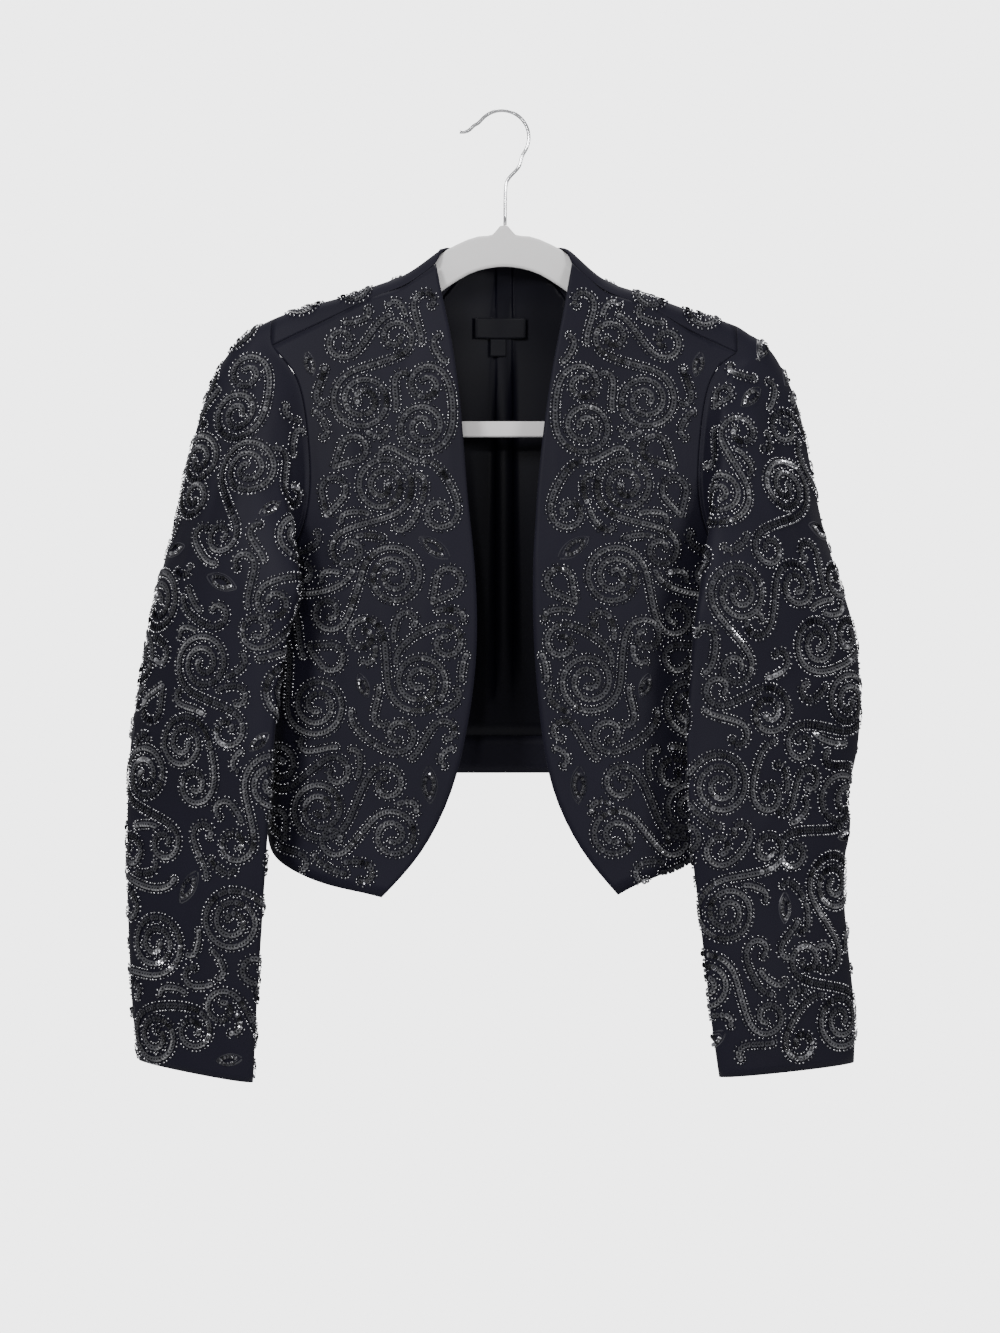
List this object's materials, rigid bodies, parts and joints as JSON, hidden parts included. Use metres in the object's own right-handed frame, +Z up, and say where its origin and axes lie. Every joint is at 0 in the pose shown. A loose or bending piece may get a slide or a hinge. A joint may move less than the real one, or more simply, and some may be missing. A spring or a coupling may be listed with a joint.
{
  "type": "bolero jacket on a hanger",
  "caption": "Open-front collarless bolero jacket with long sleeves and fronts that drop to points, hanging on a slim flocked hanger with a wire hook.",
  "frame": {"origin": "bearing point of the hanger's hook: the inside of the wire at its top", "axes": "+X to the right as seen from the front, +Y away from the front, +Z up"},
  "size_m": [0.5698, 0.1242, 0.7519],
  "materials": {
    "shell_cloth": "black crepe with a faint navy cast, covered in scrollwork of matte black sequin bands edged with glossy black seed beads",
    "lining_satin": "black satin lining with a soft sheen",
    "label_weave": "plain dark woven label, bare",
    "hanger_flock": "pale grey velvet flock over plastic",
    "hook_chrome": "polished round steel wire"
  },
  "bodies": {
    "root": {"front_left": "shell_cloth", "front_right": "shell_cloth", "back": "shell_cloth", "sleeve_left": "shell_cloth", "sleeve_right": "shell_cloth", "lining_back": "lining_satin", "hem_facing_back": "shell_cloth", "neck_label": "label_weave", "size_tab": "label_weave", "hanger_hook": "hook_chrome", "hanger_arms": "hanger_flock", "hanger_bar": "hanger_flock"}
  },
  "joints": []
}
